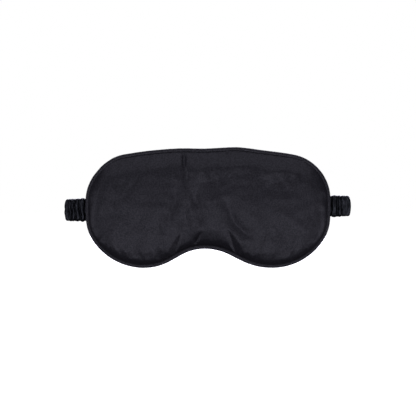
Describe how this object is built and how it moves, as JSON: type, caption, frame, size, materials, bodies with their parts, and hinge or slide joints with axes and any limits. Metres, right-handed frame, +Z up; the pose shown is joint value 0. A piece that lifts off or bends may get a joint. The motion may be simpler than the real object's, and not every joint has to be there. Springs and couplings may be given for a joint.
{
  "type": "sleep eye mask",
  "caption": "Padded satin sleep mask with piped edge, nose notch and an elastic head strap in a gathered satin sleeve.",
  "frame": {"origin": "centre of the back panel's outer face, the plane that rests on the wearer's face, at mid width and at the height of the strap's centre line", "axes": "+X along the mask's width, +Y back towards the wearer and the strap, +Z up to the brow edge; the front faces -Y"},
  "size_m": [0.246, 0.0145, 0.103],
  "materials": {
    "mask_satin": "charcoal satin, fine weave, soft sheen",
    "strap_satin": "charcoal satin, gathered",
    "piping_satin": "charcoal satin cut on the bias",
    "cotton_cord": "twisted cotton",
    "wadding": "polyester wadding",
    "interlining": "dense black interlining",
    "elastic": "woven elastic, ribbed",
    "thread": "polyester sewing thread"
  },
  "bodies": {
    "mask": {"front_panel": "mask_satin", "back_panel": "mask_satin", "piping_cover": "piping_satin", "piping_cord": "cotton_cord", "padding": "wadding", "backing_pad": "wadding", "blackout_liner": "interlining", "seam_thread": "thread", "strap_tack_left": "thread", "strap_tack_right": "thread"},
    "strap": {"strap_cover": "strap_satin", "strap_elastic": "elastic"}
  },
  "joints": [
    {"name": "strap_pull", "type": "slide", "parent": "mask", "child": "strap", "axis": [0, 1, 0], "range_m": [0, 0.12], "stiffness_N_per_m": 35, "deforming": ["strap_cover", "strap_elastic"]}
  ]
}
